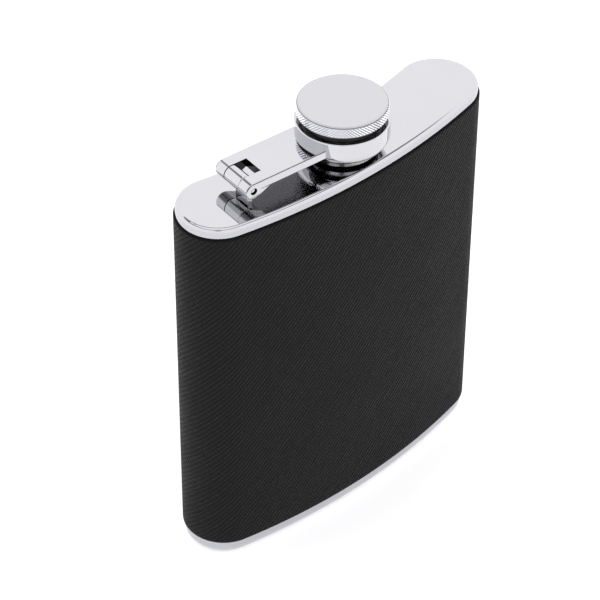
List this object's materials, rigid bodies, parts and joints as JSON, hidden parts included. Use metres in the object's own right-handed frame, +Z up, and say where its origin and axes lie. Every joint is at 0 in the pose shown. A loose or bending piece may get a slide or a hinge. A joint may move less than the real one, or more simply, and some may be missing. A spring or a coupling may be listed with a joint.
{
  "type": "hip flask",
  "caption": "Curved pocket flask with polished metal rims, a dark leatherette wrap and a knurled screw cap held captive by a hinged arm.",
  "frame": {"origin": "centre of the bounding box's footprint, on the surface that the flask stands on", "axes": "+Z up along the flask's height; +X along its width, with the arm's hinge towards -X; the bulging front face looks along -Y and the hollow back along +Y"},
  "size_m": [0.093, 0.0262, 0.1209],
  "materials": {
    "polished_steel": "mirror polished stainless steel",
    "inner_steel": "plain stainless steel",
    "wrap": "black leatherette with a fine cross-hatched grain",
    "liner": "soft off-white sealing disc",
    "washer": "black bearing plastic"
  },
  "bodies": {
    "flask": {"body_shell": "inner_steel", "top_plate": "polished_steel", "bottom_plate": "polished_steel", "leather_wrap": "wrap", "neck": "polished_steel", "hinge_bracket": "polished_steel"},
    "arm": {"cap_arm": "polished_steel", "collar_ring": "polished_steel", "hinge_pin": "inner_steel"},
    "cap": {"cap_head": "polished_steel", "threaded_sleeve": "polished_steel", "cap_liner": "liner", "swivel_washer": "washer"}
  },
  "joints": [
    {"name": "arm_swing", "type": "hinge", "parent": "flask", "child": "arm", "pos_m": [-0.0305, 0.00129, 0.11195], "axis": [-0.0915, -0.9958, 0], "range_deg": [0, 190]},
    {"name": "cap_turn", "type": "hinge", "parent": "arm", "child": "cap", "pos_m": [0, -0.00151, 0.1142], "axis": [0, 0, 1], "continuous": true}
  ]
}
